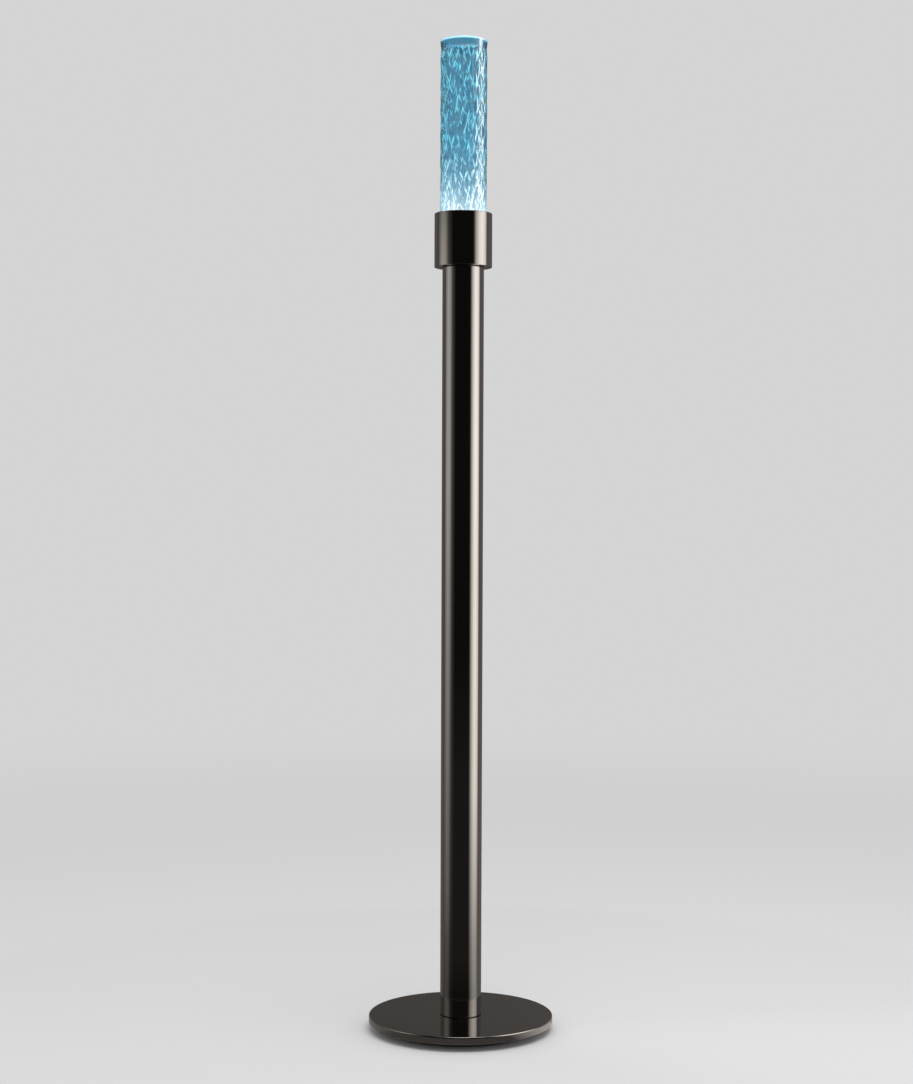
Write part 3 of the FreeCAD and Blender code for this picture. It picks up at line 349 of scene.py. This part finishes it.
def aqua_glass():
    """Blown aqua glass with a painted glow, as if lit from its foot: the painted light runs up in its wall
    and comes out at the grooves as bright ticks, white near the foot and blue above."""
    finish = Finish(
        "aqua_glass",
        GLASS_TINT,
        0.02,
        IOR=1.5,
        Transmission_Weight=1.0,
        Coat_Weight=1.0,
        Coat_IOR=2.0,
        Coat_Roughness=0.03,
    )
    span = {"Value": finish.along("Z"), "From Min": glass_low.z, "From Max": glass_high.z}
    share = finish.node("ShaderNodeMapRange", span).outputs["Result"]
    groove = finish.node("ShaderNodeAttribute", attribute_name="groove").outputs["Fac"]
    cords = finish.noise(1.0, 3.0, finish.stretched((330.0, 330.0, 42.0)), 0.6)
    finish.bumped(cords, 0.0006)
    wall = finish.math("ADD", cords, finish.math("MULTIPLY", groove, 0.12))
    wall = finish.math("SUBTRACT", wall, finish.ramp(share, COLLAR_DEPTH))
    finish.tinted(finish.ramp(wall, WALL_CLEARNESS), GLASS_DEEP_TINT, GLASS_CLEAR_TINT)
    ticks = finish.ramp(finish.noise(1.0, 2.0, finish.stretched((190.0, 190.0, 62.0))), GROOVE_TICKS)
    edges = finish.math("MULTIPLY", finish.ramp(groove, GROOVE_LINES), ticks)
    ticks = finish.ramp(finish.noise(1.0, 2.0, finish.stretched((230.0, 230.0, 50.0))), MIDDLE_TICKS)
    middles = finish.math("MULTIPLY", finish.ramp(groove, MIDDLE_LINES), ticks)
    lines = finish.math("MULTIPLY", finish.math("MAXIMUM", edges, middles), finish.ramp(share, LINE_LIGHT))
    lines = finish.math("MAXIMUM", lines, finish.ramp(share, RIM_LIGHT))
    # Painted light: the glass glows by emission, most at its foot, along its grooves and at its rim.
    finish.link(finish.math("ADD", finish.ramp(share, GLOW), lines), "Emission Strength")
    finish.link(finish.mixed(finish.ramp(share, BLUENESS), FOOT_LIGHT, UPPER_LIGHT), "Emission Color")
    depth = finish.node("ShaderNodeVolumeAbsorption")
    depth.inputs["Color"].default_value = (0.10, 0.72, 0.87, 1.0)
    depth.inputs["Density"].default_value = 42.0
    finish.tree.links.new(depth.outputs["Volume"], finish.output.inputs["Volume"])
    return finish.material


# ---------------------------------------------------------------- metal that shows


def build_metal():
    lathe_lines = polished_nickel("polished_nickel_turned", (260.0, 260.0, 4000.0))
    drawn_lines = polished_nickel("polished_nickel_drawn", (2600.0, 2600.0, 12.0))
    disc = disc_high.x
    turned(
        "polished_disc",
        [
            (SLEEVE_HOLE, disc_low.z, 0),
            (disc, disc_low.z, DISC_UNDER_EDGE),
            (disc, disc_high.z, DISC_EDGE),
            (SLEEVE_HOLE, disc_high.z, 0),
        ],
        "stand",
        lathe_lines,
        "dark_nickel",
        "base_disc",
    )
    post = post_high.x
    bore = post - POST_WALL
    turned(
        "polished_post",
        [
            (bore, post_low.z, 0),
            (post, post_low.z, POST_EDGE),
            (post, post_high.z, POST_EDGE),
            (bore, post_high.z, 0),
        ],
        "stand",
        drawn_lines,
        "dark_nickel",
        "post_tube",
    )
    cup = cup_high.x
    floor = cup_low.z + CUP_FLOOR
    turned(
        "polished_cup",
        [
            (0, cup_low.z, 0),
            (cup, cup_low.z, CUP_FOOT_EDGE),
            (cup, cup_high.z, CUP_RIM_EDGE),
            (CUP_BORE, cup_high.z, CUP_FOOT_EDGE),
            (CUP_BORE, floor, 0),
            (0, floor, 0),
        ],
        "stand",
        lathe_lines,
        "dark_nickel",
        "head_cup",
    )


# ---------------------------------------------------------------- glass


def groove_at(angle, height):
    """How far a spot lies from its diamond's middle: 0 there and 1 in the grooves. The columns of
    diamonds are staggered."""
    across = GLASS_COLUMNS * angle / math.tau
    up = height / (2 * GLASS_ROW)
    level = abs(across - round(across)) + abs(up - round(up))
    return 2 * min(level, 1 - level)


def relief_at(height):
    """How deep the relief is at a height above the glass's foot: none at the foot and the rim."""
    fade_in = min(1.0, height / GLASS_ROW)
    top = GLASS_ROW * GLASS_ROWS
    fade_out = max(0.0, min(1.0, (top - height) / (0.6 * GLASS_ROW)))
    depth = GLASS_FOOT_RELIEF if height < 2.5 * GLASS_ROW else GLASS_RELIEF
    return depth * fade_in * fade_out


def build_glass():
    """The wall's section, cut fine along its height, spun, pressed into diamonds in and out, and
    swayed a little, as blown glass is."""
    low = glass_low.z
    shoulder = low + GLASS_ROW * GLASS_ROWS
    bm = rounded_outline(
        [
            (GLASS_BORE, low, GLASS_FOOT_EDGE),
            (GLASS_BODY, low, GLASS_FOOT_EDGE),
            (GLASS_BODY, shoulder, 0),
            (glass_high.x, glass_high.z, GLASS_LIP),
            (GLASS_BORE + GLASS_FLARE, glass_high.z, GLASS_LIP),
            (GLASS_BORE, shoulder, 0),
        ]
    )
    walls = [e for e in bm.edges if e.calc_length() > 10 * GLASS_ROW]
    bmesh.ops.bisect_edges(bm, edges=walls, cuts=GLASS_ROW_CUTS * GLASS_ROWS - 1)
    spin_outline(bm, GLASS_COLUMNS * GLASS_COLUMN_STEPS)
    layer = bm.verts.layers.float.new("groove")
    for vert in bm.verts:
        radius = math.hypot(vert.co.x, vert.co.y)
        angle = math.atan2(vert.co.y, vert.co.x)
        height = vert.co.z - low
        groove = groove_at(angle, height)
        relief = relief_at(height)
        depth = relief * (1 - groove**1.7)
        if radius < (GLASS_BORE + GLASS_BODY) / 2:
            depth *= GLASS_INNER_RELIEF / GLASS_RELIEF
        else:
            vert[layer] = groove * min(1.0, 2 * relief / GLASS_RELIEF)
        sway = GLASS_SWAY * relief / GLASS_FOOT_RELIEF
        # Two slow waves that turn the diamonds, and one that lifts them.
        wander = math.sin(5 * angle + 61.0 * height) + 0.7 * math.sin(11 * angle - 150.0 * height)
        turn = angle + sway / radius * wander
        vert.co.x = (radius + depth) * math.cos(turn)
        vert.co.y = (radius + depth) * math.sin(turn)
        vert.co.z += 1.5 * sway * math.sin(7 * angle - 43.0 * height)
    finished(bm, "blown_glass", "glass", aqua_glass(), ["glass_tube"])


# ---------------------------------------------------------------- finishes of the other pieces


def dress_nodes():
    """Every piece that keeps its construction mesh gets its finish."""
    iron = cast_iron()
    pad = moulded("pad_rubber", (0.03, 0.03, 0.03), 0.85, 700.0, 0.00008)
    rubber = moulded("black_rubber", (0.02, 0.02, 0.021), 0.6)
    nylon = moulded("black_nylon", (0.025, 0.025, 0.027), 0.42)
    zinc = machined("zinc_plated_steel", (0.62, 0.63, 0.64), 0.28)
    black_steel = machined("blackened_steel", (0.05, 0.05, 0.052), 0.42)
    black_alloy = machined("black_anodised_aluminium", (0.045, 0.045, 0.048), 0.4)
    sheet = galvanised()
    driver = moulded("driver_plastic", (0.75, 0.75, 0.74), 0.5)
    block = moulded("block_polyamide", (0.7, 0.71, 0.7), 0.45)
    brass = machined("brass", (0.78, 0.58, 0.28), 0.26)
    insulation = moulded("wire_insulation", (0.32, 0.12, 0.06), 0.4)
    lead = moulded("lead_insulation", (0.05, 0.05, 0.05), 0.42)
    alloy = machined("cast_aluminium", (0.68, 0.69, 0.7), 0.45, 600.0)
    paste = moulded("thermal_silicone", (0.42, 0.46, 0.5), 0.7)
    board = moulded("white_solder_mask", (0.85, 0.86, 0.84), 0.3)
    connector = moulded("connector_plastic", (0.8, 0.79, 0.75), 0.4)
    spun = machined("spun_aluminium", (0.88, 0.89, 0.9), 0.14, 900.0)
    black_silicone = moulded("black_silicone", (0.02, 0.02, 0.022), 0.5)
    clear_silicone = moulded("clear_silicone", (0.75, 0.8, 0.82), 0.3)
    dressed = {
        "ballast_plate": iron,
        "floor_pad": pad,
        "inlet_bush": rubber,
        "lead_bush": rubber,
        "cord_sleeve": nylon,
        "ballast_screws": zinc,
        "post_screws": zinc,
        "post_washers": zinc,
        "tray_screws": zinc,
        "driver_screws": zinc,
        "earth_screw": zinc,
        "cup_screws": zinc,
        "led_screws": zinc,
        "bottom_plug": black_steel,
        "top_plug": black_alloy,
        "socket_ring": black_alloy,
        "gear_tray": sheet,
        "driver_case": driver,
        "driver_covers": driver,
        "terminal_block": block,
        "terminal_screws": brass,
        "earth_tag": brass,
        "supply_wires": insulation,
        "dc_lead": lead,
        "heat_sink": alloy,
        "thermal_pad": paste,
        "led_board": board,
        "led_emitter": phosphor(),
        "led_connector": connector,
        "reflector": spun,
        "diffuser": lit_diffuser(),
        "diffuser_gasket": black_silicone,
        "centring_ring": black_silicone,
        "glass_seat": clear_silicone,
    }
    for name, material in dressed.items():
        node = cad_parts[name]
        if not node.material_slots:
            node.data.materials.append(material)
        for place in node.material_slots:
            place.material = material


# ---------------------------------------------------------------- studio

PALE = (0.66, 0.66, 0.665)
FLOOR_TONE = (0.78, 0.78, 0.785)
FLOOR_REACH = 40.0
FLOOR_FADE_START = 0.9
FLOOR_FADE_END = 4.5
FLOOR_GAP = 0.2 * MM
TENT_RADIUS = 1.0
TENT_HEIGHT = 3.2
TENT_FLOOR = 0.5 * MM
TENT_STRENGTH = 3.3
# Seen from this far off and this high up, a spot of the post mirrors the tent somewhat above it.
TENT_VIEW = 3.2
TENT_EYE = 0.844
TENT_LIT_HEIGHT = 1.6
TENT_GAP = 6 * MM
PANEL_TONE = (1.0, 0.968, 0.935)
CLOTH_TONE = (1.0, 0.92, 0.89)
# Levels of light round the lamp, by degrees from the front to the right.
RIGHT_PANEL = [(38, 0), (43, 0.02), (51, 0.34), (67, 0.87), (80, 1.0), (97, 0.68), (104, 0.12), (108, 0)]
GLASS_PANEL = [(78, 0), (86, 1.2), (97, 1.2), (106, 0)]
LEFT_PANEL = [(-114, 0), (-104, 0.18), (-89, 0.34), (-75, 0.29), (-60, 0.05), (-46, 0.012), (-40, 0)]
BEHIND = [
    (-180, 0.026),
    (-164, 0.0235),
    (-146, 0.055),
    (-132, 0.062),
    (-114, 0.045),
    (-100, 0),
    (98, 0),
    (110, 0.075),
    (125, 0.075),
    (146, 0.06),
    (164, 0.0315),
    (180, 0.026),
]
# Levels by the height, in metres, at which the lamp mirrors them.
RIGHT_RISE = [
    (0.06, 0.24),
    (0.145, 0.33),
    (0.242, 0.50),
    (0.403, 0.78),
    (0.564, 0.87),
    (0.726, 0.93),
    (0.887, 1.0),
    (1.22, 0.98),
    (1.26, 0.94),
    (1.325, 0.94),
    (1.34, 0.12),
]
LEFT_RISE = [
    (0.08, 0.146),
    (0.145, 0.19),
    (0.242, 0.33),
    (0.403, 0.47),
    (0.564, 0.62),
    (0.887, 1.0),
    (1.22, 1.0),
    (1.27, 0.84),
    (1.31, 0.66),
    (1.325, 0.6),
    (1.34, 0.05),
]
CLOTH_RISE = [(0.045, 0.003), (0.13, 0.011), (0.42, 0.010), (0.63, 0.0038)]
GLASS_HEIGHTS = [(1.325, 0), (1.34, 1)]
# Levels by the reach from the lamp's axis: a paler strip of floor round the disc.
FLOOR_STRIP = [(0.238, 0.038), (0.247, 0)]


def stage_object(name, bm, material):
    mesh = bpy.data.meshes.new(name)
    bm.to_mesh(mesh)
    bm.free()
    thing = bpy.data.objects.new(name, mesh)
    bpy.context.scene.collection.objects.link(thing)
    mesh.materials.append(material)
    return thing


def build_floor():
    """A pale floor that runs out into the pale surroundings."""
    finish = Finish("pale_floor", FLOOR_TONE, 0.9)
    span = {"Value": finish.reach(), "From Min": FLOOR_FADE_START, "From Max": FLOOR_FADE_END}
    far = finish.node("ShaderNodeMapRange", span, interpolation_type="SMOOTHSTEP").outputs["Result"]
    haze = finish.node("ShaderNodeEmission", {"Color": (*PALE, 1.0), "Strength": 1.0})
    mix = finish.node("ShaderNodeMixShader", {0: far})
    finish.tree.links.new(finish.shader.outputs[0], mix.inputs[1])
    finish.tree.links.new(haze.outputs[0], mix.inputs[2])
    finish.tree.links.new(mix.outputs[0], finish.output.inputs["Surface"])
    bm = bmesh.new()
    bmesh.ops.create_circle(bm, cap_ends=True, segments=96, radius=FLOOR_REACH)
    bmesh.ops.translate(bm, verts=bm.verts[:], vec=(0, 0, floor_height - FLOOR_GAP))
    stage_object("floor", bm, finish.material)


def build_tent():
    """A light tent round the lamp, seen only in reflections: dark cloth with a bright panel on the
    right and a dim one on the left."""
    finish = Finish("light_tent", (0, 0, 0), 1.0)
    turn = finish.math("ARCTAN2", finish.along("X"), finish.math("MULTIPLY", finish.along("Y"), -1.0))
    share = {"Value": turn, "From Min": -math.pi, "From Max": math.pi}
    azimuth = finish.node("ShaderNodeMapRange", share).outputs["Result"]
    reach = finish.reach()
    raised = finish.math("MULTIPLY", finish.along("Z"), TENT_VIEW)
    raised = finish.math("ADD", raised, finish.math("MULTIPLY", reach, TENT_EYE))
    mirrored = finish.math("DIVIDE", raised, finish.math("ADD", reach, TENT_VIEW))
    mirrored = finish.math("DIVIDE", mirrored, TENT_LIT_HEIGHT)

    def around(levels):
        return finish.ramp(azimuth, [(0.5 + degrees / 360, level) for degrees, level in levels])

    def upwards(levels):
        return finish.ramp(mirrored, [(height / TENT_LIT_HEIGHT, level) for height, level in levels])

    glass_height = upwards(GLASS_HEIGHTS)
    right = finish.math("MULTIPLY", around(RIGHT_PANEL), upwards(RIGHT_RISE))
    left = finish.math("MULTIPLY", around(LEFT_PANEL), upwards(LEFT_RISE))
    glass_panel = finish.math("MULTIPLY", around(GLASS_PANEL), glass_height)
    panels = finish.math("ADD", finish.math("ADD", right, left), glass_panel)
    dimmed = finish.math("SUBTRACT", 1.0, finish.math("MULTIPLY", glass_height, 0.75))
    behind = finish.math("MULTIPLY", around(BEHIND), dimmed)
    cloth = finish.math("ADD", behind, upwards(CLOTH_RISE))
    cloth = finish.math("ADD", cloth, finish.ramp(reach, FLOOR_STRIP))
    lights = []
    for level, tone in ((panels, PANEL_TONE), (cloth, CLOTH_TONE)):
        strength = finish.math("MULTIPLY", level, TENT_STRENGTH)
        light = finish.node("ShaderNodeEmission", {"Color": (*tone, 1.0), "Strength": strength})
        lights.append(light.outputs[0])
    both = finish.node("ShaderNodeAddShader", {0: lights[0], 1: lights[1]})
    finish.tree.links.new(both.outputs[0], finish.output.inputs["Surface"])
    bm = bmesh.new()
    skirt = [(disc_high.x + TENT_GAP, TENT_FLOOR), (TENT_RADIUS, TENT_FLOOR), (TENT_RADIUS, TENT_HEIGHT)]
    points = [bm.verts.new((radius, 0, height)) for radius, height in skirt]
    for first, second in zip(points, points[1:]):
        bm.edges.new((first, second))
    spin_outline(bm, TURN_STEPS)
    tent = stage_object("light_tent", bm, finish.material)
    tent.visible_camera = False
    tent.visible_diffuse = False
    tent.visible_transmission = False
    tent.visible_volume_scatter = False
    tent.visible_shadow = False


def build_light():
    """Even pale surroundings and one large soft light above."""
    world = bpy.data.worlds.new("pale_studio")
    bpy.context.scene.world = world
    world.use_nodes = True
    world.node_tree.nodes["Background"].inputs["Color"].default_value = (*PALE, 1.0)
    world.node_tree.nodes["Background"].inputs["Strength"].default_value = 1.0
    lamp = bpy.data.lights.new("overhead_softbox", "AREA")
    lamp.shape = "DISK"
    lamp.size = 2.4
    lamp.energy = 42.0
    above = bpy.data.objects.new("overhead_softbox", lamp)
    bpy.context.scene.collection.objects.link(above)
    above.location = (0.5, -0.9, 3.4)
    above.rotation_euler = (Vector((0, 0, 0.4)) - above.location).to_track_quat("-Z", "Y").to_euler()
    above.visible_camera = False


# ---------------------------------------------------------------- camera

CAMERA_DISTANCE = 3.213
CAMERA_HEIGHT = 0.844
CAMERA_SIDE = -0.009
CAMERA_PITCH = math.radians(2.43)
CAMERA_ROLL = math.radians(0.2)
CAMERA_LENS = 65.8
CAMERA_SHIFT = 0.05


def build_camera():
    camera = bpy.data.cameras.new("camera")
    camera.lens = CAMERA_LENS
    camera.shift_y = CAMERA_SHIFT
    camera.clip_start = 0.05
    camera.clip_end = 200
    stand = bpy.data.objects.new("camera", camera)
    bpy.context.scene.collection.objects.link(stand)
    level = Matrix.Rotation(math.pi / 2 - CAMERA_PITCH, 4, "X")
    roll = Matrix.Rotation(CAMERA_ROLL, 4, "Z")
    stand.matrix_world = Matrix.Translation((CAMERA_SIDE, -CAMERA_DISTANCE, CAMERA_HEIGHT)) @ level @ roll
    bpy.context.scene.camera = stand


build_metal()
build_glass()
dress_nodes()
build_floor()
build_tent()
build_light()
build_camera()
bpy.context.scene.view_settings.view_transform = "Standard"
